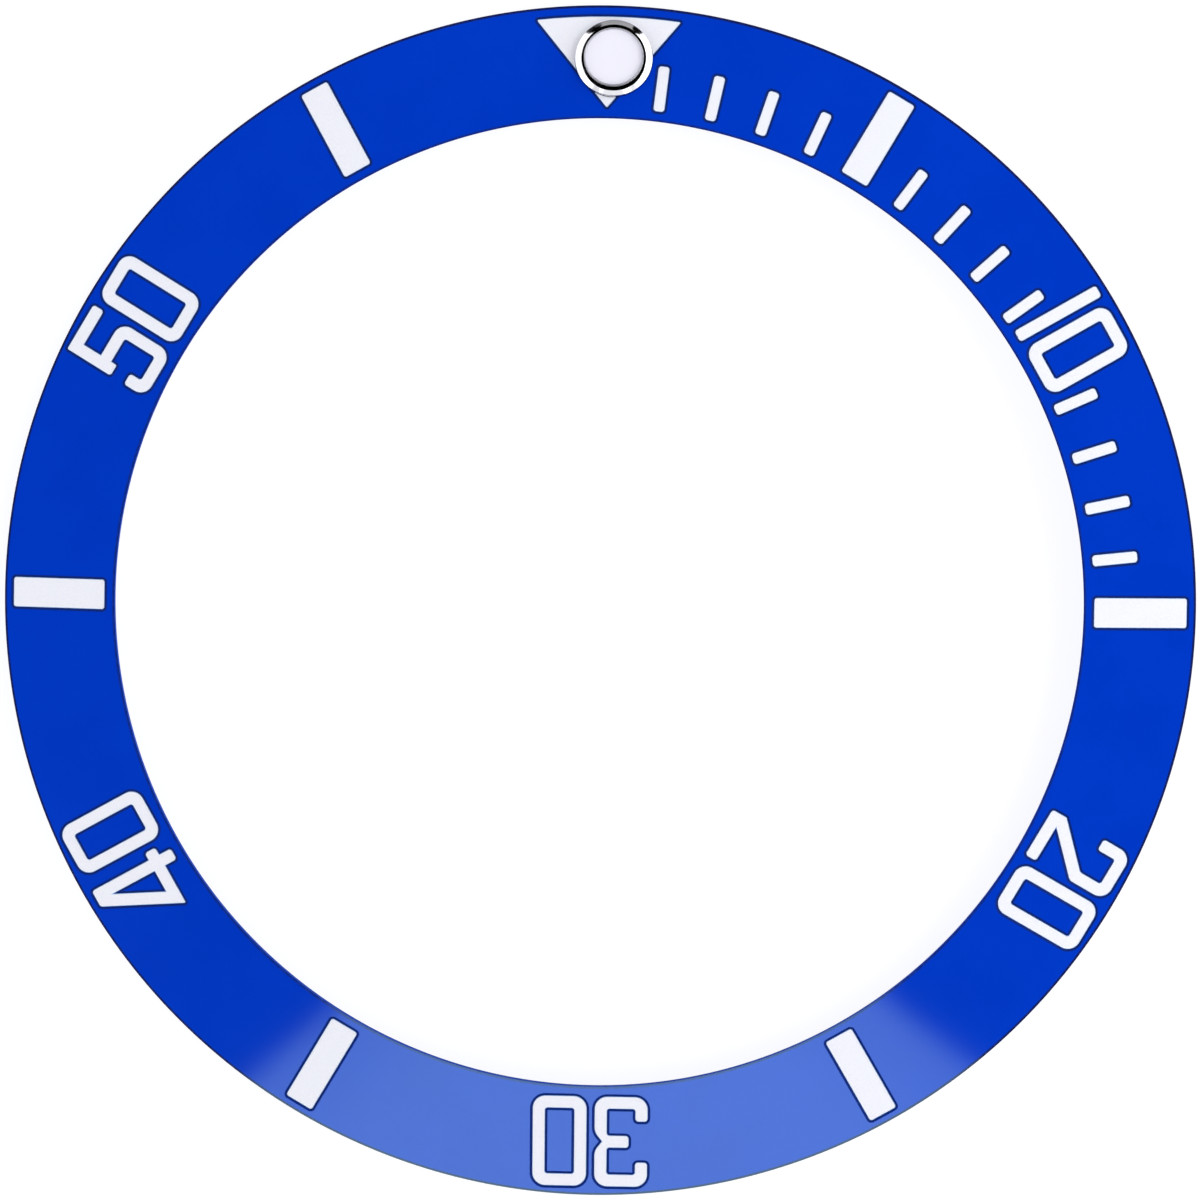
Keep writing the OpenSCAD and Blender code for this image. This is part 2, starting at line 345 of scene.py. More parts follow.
# The outlines of the markers, standing on their left foot, as corners (x, y, radius)

def box_outline(w, h, r):
    return [(0, 0, r), (w, 0, r), (w, h, r), (0, h, r)]


def zero_counter():
    inside = box_outline(ZERO_W - 2 * STROKE, BAND_H - 2 * STROKE, INSIDE)
    return [(x + STROKE, y + STROKE, r) for x, y, r in inside]


def two_outline():
    heel, hook = 0.49, 1.08
    right = TWO_W - STROKE
    heel_y = STROKE + TWO_W - heel
    back_y = heel_y - TWO_W + STROKE * math.sqrt(2)
    return [
        (0, 0, FREE_END), (TWO_W, 0, FREE_END), (TWO_W, STROKE, FREE_END), (heel, STROKE, 0),
        (TWO_W, heel_y, 2 * FREE_END), (TWO_W, BAND_H, BEND), (0, BAND_H, BEND),
        (0, BAND_H - hook, FREE_END), (STROKE, BAND_H - hook, FREE_END),
        (STROKE, BAND_H - STROKE, INSIDE), (right, BAND_H - STROKE, INSIDE),
        (right, back_y + right, 2 * INSIDE), (0, back_y, INSIDE),
    ]


def three_outline():
    bar, notch = 1.13, 0.24
    right, bar_end = THREE_W - STROKE, THREE_W - bar
    low, high, waist = (BAND_H - STROKE) / 2, (BAND_H + STROKE) / 2, STROKE * 0.7
    return [
        (0, 0, BEND), (THREE_W, 0, BEND), (THREE_W, BAND_H / 2 - waist, BEND),
        (THREE_W - notch, BAND_H / 2, 0),
        (THREE_W, BAND_H / 2 + waist, BEND), (THREE_W, BAND_H, BEND), (0, BAND_H, BEND),
        (0, BAND_H - HOOK, FREE_END), (STROKE, BAND_H - HOOK, FREE_END),
        (STROKE, BAND_H - STROKE, INSIDE), (right, BAND_H - STROKE, INSIDE),
        (right, high, INSIDE), (bar_end, high, FREE_END), (bar_end, low, FREE_END), (right, low, INSIDE),
        (right, STROKE, INSIDE), (STROKE, STROKE, INSIDE),
        (STROKE, HOOK, FREE_END), (0, HOOK, FREE_END),
    ]


FOUR_STUB, FOUR_BAR_Y, FOUR_TOP = 0.26, 0.43, 0.6
FOUR_RIGHT = FOUR_W - FOUR_STUB
FOUR_LEFT = FOUR_RIGHT - STROKE
FOUR_RISE = (BAND_H - FOUR_BAR_Y) / (FOUR_RIGHT - FOUR_TOP)


def four_outline():
    bar_top = FOUR_BAR_Y + STROKE
    return [
        (0, FOUR_BAR_Y, FREE_END / 2), (FOUR_LEFT, FOUR_BAR_Y, 0), (FOUR_LEFT, 0, FREE_END),
        (FOUR_RIGHT, 0, FREE_END), (FOUR_RIGHT, FOUR_BAR_Y, 0), (FOUR_W, FOUR_BAR_Y, FREE_END),
        (FOUR_W, bar_top, FREE_END), (FOUR_RIGHT, bar_top, 0), (FOUR_RIGHT, BAND_H, FREE_END),
        (FOUR_RIGHT - FOUR_TOP, BAND_H, FREE_END),
    ]


def four_counter():
    low = FOUR_BAR_Y + STROKE
    lean = STROKE * math.hypot(1, FOUR_RISE) / FOUR_RISE
    return [
        (lean + STROKE / FOUR_RISE, low, 0), (FOUR_LEFT, low, 0),
        (FOUR_LEFT, FOUR_BAR_Y + (FOUR_LEFT - lean) * FOUR_RISE, 0),
    ]


def five_outline():
    bowl, spur = 1.95, 0.21
    right, bowl_in = FIVE_W - STROKE, bowl - STROKE
    return [
        (0, 0, BEND), (FIVE_W, 0, BEND), (FIVE_W, bowl, BEND), (STROKE, bowl, 0),
        (STROKE, BAND_H - STROKE, 0), (FIVE_W, BAND_H - STROKE, FREE_END), (FIVE_W, BAND_H, FREE_END),
        (0, BAND_H, INSIDE), (0, bowl_in - spur, FREE_END), (STROKE, bowl_in - spur, INSIDE),
        (STROKE, bowl_in, 0), (right, bowl_in, INSIDE), (right, STROKE, INSIDE),
        (STROKE, STROKE, INSIDE), (STROKE, HOOK, FREE_END), (0, HOOK, FREE_END),
    ]


def triangle_outline():
    """The triangle is drawn in place, from the ring's axis, and its top is an arc about that axis."""
    top_r, lean = RIM_R - TRIANGLE_MARGIN, math.radians(TRIANGLE_LEAN)
    reach = lean - math.asin(FOOT_R * math.sin(lean) / top_r)
    corners = [(0, FOOT_R, TRIANGLE_CORNER)]
    for k in range(TRIANGLE_STEPS + 1):
        a = reach * (1 - 2 * k / TRIANGLE_STEPS)
        radius = TRIANGLE_CORNER if k in (0, TRIANGLE_STEPS) else 0
        corners.append((top_r * math.sin(a), top_r * math.cos(a), radius))
    return corners


# Each shape: its outline and the outline of its counter
SHAPES = {
    "zero": (box_outline(ZERO_W, BAND_H, BEND), zero_counter()),
    "one": (box_outline(STROKE, BAND_H, FREE_END), None),
    "two": (two_outline(), None),
    "three": (three_outline(), None),
    "four": (four_outline(), four_counter()),
    "five": (five_outline(), None),
    "bar": (box_outline(BAR_W, BAND_H, BAR_CORNER), None),
    "tick": (box_outline(TICK_W, TICK_L, TICK_CORNER), None),
    "triangle": (triangle_outline(), None),
}

# Each digit that counts tens: its shape and its width
DIGITS = {
    1: ("one", STROKE),
    2: ("two", TWO_W),
    3: ("three", THREE_W),
    4: ("four", FOUR_W),
    5: ("five", FIVE_W),
}

# Every marker: its CAD node, its shape, its minute and how far it stands off its minute's line
MARKERS = [("triangle_fill", "triangle", 0, 0.0)]
MARKERS += [(f"bar_{m:02d}", "bar", m, -BAR_W / 2) for m in range(5, 60, 10)]
MARKERS += [(f"minute_tick_{m:02d}", "tick", m, -TICK_W / 2) for m in range(1, 15) if m % 5]
for ten, (digit, digit_w) in DIGITS.items():
    to_zero = digit_w + DIGIT_GAP
    MARKERS.append((f"numeral_{ten}0_tens", digit, 10 * ten, -(to_zero + ZERO_W) / 2))
    MARKERS.append((f"numeral_{ten}0_units", "zero", 10 * ten, (to_zero - ZERO_W) / 2))


def to_its_minute(shape, minute, off):
    """Where a shape drawn on the bench goes on the ring. The triangle is already drawn in place."""
    foot = 0 if shape == "triangle" else FOOT_R
    return Matrix.Rotation(math.radians(-6 * minute), 4, "Z") @ Matrix.Translation((off, foot, 0))


# Laying flat pieces on the slope

def scribe(piece, only=lambda co: True):
    """Cuts a flat piece along lines through the axis, one to each wedge, so that it can take the slope."""
    angles = [math.degrees(math.atan2(v.co.x, v.co.y)) for v in piece.data.vertices if only(v.co)]
    span = 360 / WEDGES
    work_on(piece)
    if max(angles) - min(angles) > 180:
        lines = range(0, WEDGES // 2)
    else:
        lines = range(math.ceil(min(angles) / span), math.floor(max(angles) / span) + 1)
    for k in lines:
        a = math.radians(k * span)
        pick_points(piece, only)
        bpy.ops.mesh.bisect(plane_co=(0, 0, 0), plane_no=(math.cos(a), -math.sin(a), 0), threshold=SAME)
    return put_down(piece)


def lay_on_slope(piece):
    """Raises a flat piece so that height 0 comes to lie on the slope; the ring's back goes to the table."""
    for v in piece.data.vertices:
        if v.co.z < -BENCH_DEPTH / 2:
            v.co.z += BENCH_DEPTH
        else:
            v.co.z += slope_z(v.co.xy.length)
    return piece


# Finishes

class Tree:
    """The nodes of a material, a lamp or the world, with short ways to add and link them."""

    def __init__(self, owner):
        owner.use_nodes = True
        self.nodes, self.links = owner.node_tree.nodes, owner.node_tree.links

    def add(self, kind, **settings):
        node = self.nodes.new("ShaderNode" + kind)
        for key, value in settings.items():
            setattr(node, key, value)
        return node

    def put(self, value, socket):
        """Links another node's output to a socket, or sets a number, a vector or a colour on it."""
        if isinstance(value, bpy.types.NodeSocket):
            self.links.new(value, socket)
        elif socket.type == "RGBA":
            socket.default_value = (*value, 1)
        else:
            socket.default_value = value

    def spread(self, source, low, high, start=0.35, end=0.65):
        """Spreads what lies between start and end over the range from low to high."""
        node = self.add("MapRange")
        limits = {"From Min": start, "From Max": end, "To Min": low, "To Max": high}
        for name, value in limits.items():
            self.put(value, node.inputs[name])
        self.put(source, node.inputs["Value"])
        return node.outputs["Result"]

    def blend(self, factor, first, second):
        """A colour between two others."""
        node = self.add("Mix", data_type="RGBA")
        self.put(first, node.inputs["A"])
        self.put(second, node.inputs["B"])
        self.put(factor, node.inputs["Factor"])
        return node.outputs["Result"]

    def maths(self, operation, first, second):
        """One number from two."""
        node = self.add("Math", operation=operation)
        self.put(first, node.inputs[0])
        self.put(second, node.inputs[1])
        return node.outputs[0]

    def vector_maths(self, operation, *vectors):
        """One vector from others, or the length of one."""
        node = self.add("VectorMath", operation=operation)
        for vector, socket in zip(vectors, node.inputs):
            self.put(vector, socket)
        return node.outputs["Value" if operation == "LENGTH" else "Vector"]


class Finish(Tree):
    """A material on the Principled shader, with short ways to give it its grain and its colours."""

    def __init__(self, name):
        self.material = bpy.data.materials.new(name)
        super().__init__(self.material)
        self.shader = self.nodes["Principled BSDF"]

    def set(self, name, value):
        self.put(value, self.shader.inputs[name])

    def place(self):
        """Where the point is, in the part's own axes and in metres."""
        return self.add("TexCoord").outputs["Object"]

    def mapped(self, vector_type, **inputs):
        """The place, moved, turned or stretched."""
        node = self.add("Mapping", vector_type=vector_type)
        for name, value in inputs.items():
            self.put(value, node.inputs[name])
        self.put(self.place(), node.inputs["Vector"])
        return node.outputs["Vector"]

    def noise(self, scale, detail=2.0, rough=0.5, place=None):
        """Fine noise over the surface, with its scale in spots per millimetre."""
        node = self.add("TexNoise")
        self.put(scale / MM, node.inputs["Scale"])
        self.put(detail, node.inputs["Detail"])
        self.put(rough, node.inputs["Roughness"])
        self.put(place or self.place(), node.inputs["Vector"])
        return node.outputs["Fac"]

    def mottle(self, noise, first, second):
        """Colours the surface with two close tones that follow a noise."""
        self.set("Base Color", self.blend(self.spread(noise, 0, 1), first, second))

    def bump(self, height, distance, strength):
        """Raises the surface by a height, over a distance in millimetres."""
        node = self.add("Bump")
        self.put(distance * MM, node.inputs["Distance"])
        self.put(strength, node.inputs["Strength"])
        self.put(height, node.inputs["Height"])
        self.set("Normal", node.outputs["Normal"])

    def clear_where(self, factor):
        """Makes the surface fully clear where the factor is 1."""
        mix = self.add("MixShader")
        self.put(factor, mix.inputs["Fac"])
        self.put(self.shader.outputs["BSDF"], mix.inputs[1])
        self.put(self.add("BsdfTransparent").outputs["BSDF"], mix.inputs[2])
        self.put(mix.outputs["Shader"], self.nodes["Material Output"].inputs["Surface"])


ZIRCONIA_IOR = 2.15
GLASS_IOR = 1.5
CERAMIC_TINT = (0.6, 1, 1)
NO_Z = (1, 1, 0)


def polished_ceramic():
    """Deep blue zirconia, polished: a faint cloud in the colour and a faint haze in the gloss."""
    finish = Finish("polished_blue_ceramic")
    grain = finish.noise(45, detail=1)
    finish.mottle(finish.noise(0.35, detail=3), (0.0001, 0.045, 0.614), (0.0006, 0.049, 0.646))
    finish.set("Roughness", finish.spread(grain, 0.04, 0.06))
    finish.set("IOR", ZIRCONIA_IOR)
    finish.set("Specular Tint", CERAMIC_TINT)
    finish.bump(grain, 0.0002, 0.2)
    return finish.material


def pocket_shade_ceramic():
    """The same ceramic darkened as painted shade: navy in the pocket walls, floors and mouths."""
    finish = Finish("pocket_shade_blue_ceramic")
    pits = finish.noise(30, detail=3)
    # Painted shade: dark navy tones where shade falls in the engraved pockets
    finish.mottle(pits, (0.002, 0.016, 0.14), (0.004, 0.025, 0.23))
    finish.set("Roughness", finish.spread(pits, 0.35, 0.55))
    finish.set("Specular IOR Level", 0.05)
    finish.bump(pits, 0.004, 0.5)
    return finish.material


def shaded_edge_ceramic():
    """The rounded front edges with painted shade: darker than the face and near navy at the rim.

    They mirror what the face mirrors, because they are shaded as if they leaned like the slope.
    """
    finish = Finish("shaded_edge_blue_ceramic")
    cloud = finish.noise(6, detail=3)
    tone = finish.spread(cloud, 0, 1)
    # Painted shade: the edges darkened, dark blue by the bore and near navy by the rim
    bore = finish.blend(tone, (0.006, 0.030, 0.30), (0.008, 0.042, 0.42))
    rim = finish.blend(tone, (0.007, 0.016, 0.12), (0.010, 0.023, 0.19))
    reach = finish.vector_maths("LENGTH", finish.place())
    outward = finish.spread(reach, 0, 1, BORE_R * MM, RIM_R * MM)
    finish.set("Base Color", finish.blend(outward, bore, rim))
    finish.set("Roughness", finish.spread(cloud, 0.04, 0.08))
    finish.set("IOR", ZIRCONIA_IOR)
    finish.set("Specular Tint", CERAMIC_TINT)
    away = finish.vector_maths("NORMALIZE", finish.vector_maths("MULTIPLY", finish.place(), NO_Z))
    lean, rise = (math.sin(SLOPE),) * 3, (0, 0, math.cos(SLOPE))
    finish.set("Normal", finish.vector_maths("MULTIPLY_ADD", away, lean, rise))
    return finish.material


def ground_ceramic():
    """The bore: ground to size and left matt."""
    finish = Finish("ground_blue_ceramic")
    marks = finish.noise(20, detail=3)
    finish.mottle(marks, (0.009, 0.055, 0.42), (0.013, 0.075, 0.56))
    finish.set("Roughness", finish.spread(marks, 0.5, 0.7))
    finish.set("Specular IOR Level", 0.08)
    finish.bump(marks, 0.003, 0.5)
    return finish.material


def lapped_ceramic():
    """The back: lapped flat and left matt, with the long scratches of the lap."""
    finish = Finish("lapped_blue_ceramic")
    stretched = finish.mapped("POINT", Rotation=(0, 0, math.radians(25)), Scale=(1, 14, 1))
    scratches = finish.noise(1.6, detail=4, place=stretched)
    finish.mottle(finish.noise(0.8, detail=3), (0.001, 0.035, 0.42), (0.003, 0.045, 0.5))
    finish.set("Roughness", finish.spread(scratches, 0.38, 0.55))
    finish.set("IOR", ZIRCONIA_IOR)
    finish.bump(scratches, 0.002, 0.6)
    return finish.material


def white_lacquer():
    """Cast white lacquer: near white with very fine grey and cream grain."""
    finish = Finish("white_lacquer")
    grain = finish.noise(14, detail=3, rough=0.6)
    cloud = finish.noise(1.3)
    grained = finish.blend(
        finish.spread(grain, 0, 1, 0.38, 0.62), (0.90, 0.905, 0.985), (0.95, 0.955, 1.0)
    )
    finish.set("Base Color", finish.blend(finish.spread(cloud, 0.1, 0.6), grained, (0.93, 0.95, 1.0)))
    finish.set("Roughness", finish.spread(grain, 0.3, 0.45))
    finish.set("IOR", GLASS_IOR)
    finish.bump(grain, 0.0015, 0.5)
    return finish.material


def thin_lacquer():
    """The rounded edge of the lacquer, thin enough for the blue of the pocket to show through."""
    finish = Finish("thin_lacquer")
    grain = finish.noise(14, detail=3, rough=0.6)
    finish.mottle(grain, (0.25, 0.48, 0.88), (0.31, 0.54, 0.96))
    finish.set("Roughness", finish.spread(grain, 0.35, 0.5))
    finish.set("IOR", GLASS_IOR)
    return finish.material


def polished_steel():
    """Turned and polished steel with faint rings of the tool; inside the crest it is left satin."""
    finish = Finish("polished_steel")
    spot, turned = pearl_place(MM).to_translation(), pearl_place(MM).to_euler()
    centred = finish.mapped("TEXTURE", Location=spot, Rotation=turned)
    rings = finish.add("TexWave", wave_type="RINGS", rings_direction="Z")
    finish.put(12 / MM, rings.inputs["Scale"])
    finish.put(1.5, rings.inputs["Distortion"])
    finish.put(centred, rings.inputs["Vector"])
    smear = finish.noise(3)
    finish.mottle(smear, (0.76, 0.76, 0.78), (0.82, 0.82, 0.84))
    finish.set("Metallic", 1)
    reach = finish.vector_maths("LENGTH", finish.vector_maths("MULTIPLY", centred, NO_Z))
    satin = finish.spread(reach, 0.45, 0, CREST_R * MM, (CREST_R + 0.005) * MM)
    finish.set("Roughness", finish.maths("ADD", finish.spread(smear, 0.06, 0.12), satin))
    finish.bump(rings.outputs["Fac"], 0.0004, 0.3)
    return finish.material


def luminous_compound():
    """Pressed luminous compound: matt, faintly lavender, with a fine grain and a faint painted glow that
    lifts its white.
    """
    finish = Finish("luminous_compound")
    grain = finish.noise(25)
    finish.mottle(grain, (0.96, 0.95, 0.99), (0.98, 0.97, 1.0))
    finish.set("Roughness", 0.8)
    # Painted light: a faint blue glow that makes the disc brighter
    finish.set("Emission Color", (0.3, 0.3, 1))
    finish.set("Emission Strength", 0.06)
    finish.bump(grain, 0.002, 0.4)
    return finish.material


def clear_dome():
    """A clear dome with a trace of polish haze, which lets the light through to the disc."""
    finish = Finish("clear_dome")
    haze = finish.noise(5)
    finish.mottle(haze, (0.985, 0.985, 1.0), (1.0, 1.0, 1.0))
    finish.set("Roughness", finish.spread(haze, 0.0, 0.03))
    finish.set("Transmission Weight", 1)
    finish.set("IOR", GLASS_IOR)
    path = finish.add("LightPath").outputs
    finish.clear_where(finish.maths("MAXIMUM", path["Is Shadow Ray"], path["Is Diffuse Ray"]))
    return finish.material


CERAMIC, POCKET_SHADE, SHADED_EDGE = polished_ceramic(), pocket_shade_ceramic(), shaded_edge_ceramic()
GROUND, LAPPED = ground_ceramic(), lapped_ceramic()
LACQUER, THIN_LACQUER = white_lacquer(), thin_lacquer()
STEEL, LUMINOUS, DOME = polished_steel(), luminous_compound(), clear_dome()


# The plug that seats the pearl, in the triangle's fill and in the ring

def pearl_plug():
    """The pearl's seat and the bore of its stem as one plug, brought from the slope down to the bench."""
    clear()
    seat_r, bore_r, above, below = PEARL_D / 2 + BOND, STEM_R + BOND, 1, 0.02
    bpy.ops.mesh.primitive_cylinder_add(
        vertices=LATHE_STEPS, radius=seat_r, depth=SEAT + above, location=(0, 0, (above - SEAT) / 2)
    )
    plug = bpy.context.object
    plug.data.transform(plug.matrix_basis)
    plug.matrix_basis = Matrix.Identity(4)
    work_on(plug)
    pick(plug, "FACE", lambda face: face.normal.z < -0.9)
    bpy.ops.mesh.inset(thickness=seat_r - bore_r)
    bpy.ops.mesh.extrude_region_move(TRANSFORM_OT_translate={"value": (0, 0, -BENCH_DEPTH)})
    put_down(plug)
    plug.data.transform(pearl_place())
    axis = pearl_place().to_3x3() @ Vector((0, 0, 1))
    for v in plug.data.vertices:
        if v.co.z < 0:
            v.co -= axis * ((v.co.z + below) / axis.z)
            v.co.z -= BENCH_DEPTH
        else:
            v.co.z -= slope_z(v.co.xy.length)
    # The seat's walls take the painted pocket shade
    plug.data.materials.append(POCKET_SHADE)
    return plug


# Lacquer fills, one for each CAD fill

def fill_blank(shape):
    """A fill on the bench: straight walls, a rounded upper edge and a flat top just under height 0."""
    foot = BOND - POCKET
    straight = -foot - LACQUER_LOW - MENISCUS
    rises = quarter_round(MENISCUS, -MENISCUS, MENISCUS_STEPS)
    blank = raise_marker(shape + "_fill_blank", shape, foot, straight, rises, -BOND)
    blank.data.materials.append(LACQUER)
    blank.data.materials.append(THIN_LACQUER)
    for face in blank.data.polygons:
        face.material_index = int(0.1 < face.normal.z < 0.99)
    return blank


def make_fills():
    blanks = {shape: fill_blank(shape) for shape in SHAPES}
    for node, shape, minute, off in MARKERS:
        name = node.replace("_fill", "") + "_lacquer"
        fill = scribe(copy_of(blanks[shape], name, to_its_minute(shape, minute, off)))
        if shape == "triangle":
            cut(fill, pearl_plug())
        hand_over(smooth(weld(lay_on_slope(fill))), "white_fill", node)
    discard(*blanks.values())


# The ring: a flat plate, engraved by one joined tool, then laid on the slope

def goes_round(a, b, level):
    """Whether the edge from a to b lies at the level and keeps its distance from the axis."""
    at_level = max(abs(a.z - level), abs(b.z - level)) < SAME
    return at_level and abs(a.xy.length - b.xy.length) < NEAR


def ring_plate():
    """A flat plate with rounded front and back edges, the bore's land and the relief behind it."""
    clear()
    bpy.ops.mesh.primitive_circle_add(vertices=WEDGES, radius=RIM_R, fill_type="NGON")
    ring = bpy.context.object
    ring.name = ring.data.name = "ceramic_ring"
    work_on(ring)
    pick_all()
    bpy.ops.mesh.inset(thickness=RIM_R - BORE_R)
    bpy.ops.mesh.delete(type="FACE")
    pick_all()
    bpy.ops.mesh.extrude_region_move(TRANSFORM_OT_translate={"value": (0, 0, -BENCH_DEPTH)})
    face_outwards()
    for level, size in ((0, FRONT_EDGE), (-BENCH_DEPTH, BACK_EDGE)):
        pick_edges(ring, lambda a, b: goes_round(a, b, level))
        bpy.ops.mesh.bevel(offset=size, offset_type="OFFSET", segments=EDGE_STEPS, profile=0.5)
    pick_points(ring, lambda co: co.xy.length < BORE_R + NEAR)
    bpy.ops.mesh.bisect(plane_co=(0, 0, -FRONT_EDGE - LAND), plane_no=(0, 0, 1))
    pick_points(ring, lambda co: co.z < -BENCH_DEPTH / 2 and co.xy.length < BORE_R + 2 * BACK_EDGE)
    widen = 1 + RELIEF / BORE_R
    bpy.ops.transform.resize(value=(widen, widen, 1))
    put_down(ring)
    ring.data.materials.append(CERAMIC)
    return ring


def pocket_cutter(shape):
    """A cutter on the bench: the pocket's walls, its rounded mouth, and a shank above height 0."""
    rises = quarter_round(LACQUER_LOW, MOUTH_W, MOUTH_STEPS) + [(SHANK, 0)]
    cutter = raise_marker(shape + "_cutter", shape, -POCKET, POCKET - LACQUER_LOW, rises)
    # The pocket's walls and rounded mouth take the painted shade
    cutter.data.materials.append(POCKET_SHADE)
    return cutter


def engraver():
    """The cutters of all markers in their places, the triangle's with the pearl's plug, as one tool."""
    cutters = {shape: pocket_cutter(shape) for shape in SHAPES}
    floor = 0.01 - POCKET
    tools = []
    for _, shape, minute, off in MARKERS:
        tool = copy_of(cutters[shape], "tool", to_its_minute(shape, minute, off))
        scribe(tool, lambda co: co.z < floor)
        if shape == "triangle":
            cut(tool, pearl_plug(), "UNION")
        tools.append(tool)
    discard(*cutters.values())
    return join("engraver", tools)


def finish_faces(ring):
    """Gives the back and the bore their own finishes, and the rounded front edges their painted shade."""
    first = len(ring.data.materials)
    for finish in (SHADED_EDGE, GROUND, LAPPED):
        ring.data.materials.append(finish)
    shaded_edge, ground, lapped = range(first, first + 3)
    for face in ring.data.polygons:
        r, z = face.center.xy.length, face.center.z
        from_edge = min(RIM_R - r, r - BORE_R)
        if face.normal.z < -0.99 and z < 0.01:
            face.material_index = lapped
        elif r < BORE_R + 0.01 or (r < BORE_R + RELIEF + BACK_EDGE and face.normal.z < 0):
            face.material_index = ground
        elif from_edge < FRONT_EDGE and z > slope_z(r) - FRONT_EDGE:
            # The rounded front edges take the painted shade
            face.material_index = shaded_edge


def crease_round_slope(ring):
    """Marks the border of the polished slope sharp, so that no rounded edge bends what it mirrors."""
    work_on(ring)
    pick(ring, "FACE", lambda face: face.material_index == 0 and face.normal.z > 0.9)
    bpy.ops.mesh.region_to_loop()
    bpy.ops.mesh.mark_sharp()
    put_down(ring)


def make_ring():
    ring = cut(ring_plate(), engraver())
    weld(lay_on_slope(ring))
    finish_faces(ring)
    crease_round_slope(ring)
    hand_over(smooth(ring), "blue_ceramic", "insert_ring")


# The pearl: cup, luminous disc and dome, each turned from a drawn profile

def rounded_profile(corners):
    """Points of a profile (x, 0, z) from corners (x, z, radius), with each corner drawn as an arc."""
    points = []
    for i, (x, z, radius) in enumerate(corners):
        here = Vector((x, z))
        if not radius:
            points.append((x, 0, z))
            continue
        a = (here - Vector(corners[i - 1][:2])).normalized()
        b = (Vector(corners[i + 1][:2]) - here).normalized()
        turn = a.angle_signed(b)
        reach = radius * math.tan(abs(turn) / 2)
        middle = here - a * reach + a.orthogonal() * radius * math.copysign(1, -turn)
        arm = here - a * reach - middle
        steps = max(3, math.ceil(abs(turn) * 8))
        for k in range(steps + 1):
            spot = middle + Matrix.Rotation(-turn * k / steps, 2) @ arm
            points.append((spot.x, 0, spot.y))
    return points


def turn_on_lathe(name, profile, finish):
    """Spins a profile (x, 0, z), which starts and ends on the axis, into a solid at the pearl's place."""
    piece = draw_line(name, profile)
    pick_all()
    bpy.ops.mesh.spin(steps=LATHE_STEPS, angle=2 * math.pi, center=(0, 0, 0), axis=(0, 0, 1))
    put_down(piece)
    weld(piece, SAME)
    piece.data.materials.append(finish)
    piece.data.transform(pearl_place())
    return smooth(piece, 40)


def make_cup():
    """Stem, seat, sloped rim with a round crest, groove and collar, and the well for the disc."""
    cup_r, well_r, seat = PEARL_D / 2, DISC_R + BOND, BOND - SEAT
    stem_end = (STEM_CLEAR + STEM_R * math.sin(SLOPE) - slope_z(PEARL_R)) / math.cos(SLOPE)
    fall = math.radians(RIM_FALL)
    bend_r = CREST_R + CREST_FLAT + CREST_ROUND * math.tan(fall / 2)
    shoulder = CREST_Z - (cup_r - bend_r) * math.tan(fall)
    cup = rounded_profile([
        (0, stem_end, 0), (STEM_R, stem_end, CUP_ROUND), (STEM_R, seat, 0), (cup_r, seat, CUP_ROUND),
        (cup_r, shoulder, CUP_ROUND), (bend_r, CREST_Z, CREST_ROUND), (CREST_R, CREST_Z, 0),
        (CREST_R, GROOVE_Z, 0), (COLLAR_R, GROOVE_Z, 0), (COLLAR_R, COLLAR_TOP, COLLAR_ROUND),
        (well_r, COLLAR_TOP, COLLAR_ROUND), (well_r, WELL_Z, 0), (0, WELL_Z, 0),
    ])
    hand_over(turn_on_lathe("steel_cup", cup, STEEL), "polished_steel", "pearl_cup")


def make_disc():
    foot = WELL_Z + BOND
    disc = rounded_profile([
        (0, foot, 0), (DISC_R, foot, 0), (DISC_R, DISC_TOP, DISC_ROUND), (0, DISC_TOP, 0),
    ])
    hand_over(turn_on_lathe("luminous_disc", disc, LUMINOUS), "luminous_white", "pearl_lume")


def make_dome():
    """A short straight side and a cap of a large sphere."""
    foot = DISC_TOP + BOND
    sphere = (DISC_R * DISC_R + DOME_CROWN * DOME_CROWN) / (2 * DOME_CROWN)
    reach = math.asin(DISC_R / sphere)
    cap = [(0, 0, foot), (DISC_R, 0, foot)]
    for k in range(DOME_STEPS + 1):
        a = reach * (1 - k / DOME_STEPS)
        cap.append((sphere * math.sin(a), 0, foot + DOME_SIDE + DOME_CROWN - sphere + sphere * math.cos(a)))
    hand_over(turn_on_lathe("dome", cap, DOME), "clear_dome", "pearl_dome")


make_fills()
make_ring()
make_cup()
make_disc()
make_dome()


# The table, the lights and the camera

DAYLIGHT = (0.965, 0.967, 1.0)
TABLE_GAP, TABLE_GREY, TABLE_SEEN, TABLE_BOUNCE = 0.02, 0.35, 0.8, 0.2
WORLD_FILL = 0.15
SOFTBOX_FAR = 600
CAMERA_FAR, VIEW_W, SENSOR_W = 320.0, 38.25, 36

# The overhead panel: where it starts and ends towards 6 o'clock, its height, its width and its turn.
# It fades out over FADE_W at its near edge, and FADE_BEND_W from that edge it has FADE_BEND of its light.
PANEL_NEAR, PANEL_FAR, PANEL_HEIGHT, PANEL_W, PANEL_TURN = 313, 760, 600, 720, 2.9
FADE_W, FADE_BEND_W, FADE_BEND = 50, 13, 0.78


